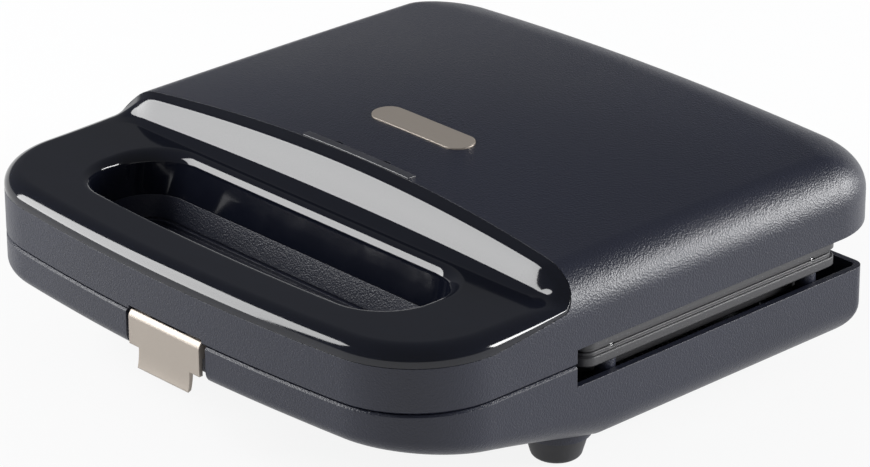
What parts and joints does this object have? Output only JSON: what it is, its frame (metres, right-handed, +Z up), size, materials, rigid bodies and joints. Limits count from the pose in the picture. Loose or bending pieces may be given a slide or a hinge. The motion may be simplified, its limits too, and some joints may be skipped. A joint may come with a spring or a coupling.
{
  "type": "sandwich toaster",
  "caption": "Countertop sandwich toaster with a hinged lid, a gloss grip trim around a finger opening, a drop latch and cast sandwich plates.",
  "frame": {"origin": "middle of the outline on the surface that the feet stand on", "axes": "+X to the right seen from the front, +Y from the front handle to the rear hinge, +Z up"},
  "size_m": [0.23, 0.2396, 0.082],
  "materials": {
    "housing": "fine grained, satin to matte",
    "gloss_trim": "polished",
    "champagne": "pearl champagne lacquer on moulded plastic",
    "lens": "smoked, polished",
    "lamp_red": "tinted",
    "lamp_green": "tinted",
    "holder": "natural moulding",
    "nonstick": "non-stick coating on cast metal",
    "steel": "zinc plated",
    "element": "oxidised sheath",
    "spring_steel": "rolled",
    "shield": "bright rolled sheet",
    "ceramic": "unglazed",
    "fuse": "plated cap",
    "bush": "moulded",
    "rubber": "moulded"
  },
  "bodies": {
    "base": {"lower_shell": "housing", "lower_plate": "nonstick", "lower_plate_screws": "steel", "lower_heater": "element", "lower_heater_clamps": "spring_steel", "lower_heat_shield": "shield", "thermostat": "ceramic", "thermal_fuse": "fuse", "terminal_block": "ceramic", "cord_bush": "bush", "hinge_pins": "steel", "latch_catch": "spring_steel", "front_feet": "rubber", "rear_feet": "rubber"},
    "lid": {"upper_shell": "housing", "handle_trim": "gloss_trim", "nameplate": "champagne", "indicator_lens": "lens", "power_lamp": "lamp_red", "ready_lamp": "lamp_green", "lamp_holder": "holder", "upper_plate": "nonstick", "upper_plate_screws": "steel", "upper_heater": "element", "upper_heater_clamps": "spring_steel", "upper_heat_shield": "shield", "latch_pin": "steel"},
    "latch": {"latch": "champagne"}
  },
  "joints": [
    {"name": "lid_hinge", "type": "hinge", "parent": "base", "child": "lid", "pos_m": [0, 0.10505, 0.045], "axis": [-1, 0, 0], "range_deg": [0, 95], "deforming": ["latch_catch"]},
    {"name": "latch_hinge", "type": "hinge", "parent": "lid", "child": "latch", "pos_m": [0, -0.11495, 0.0406], "axis": [-1, 0, 0], "range_deg": [0, 35]}
  ]
}
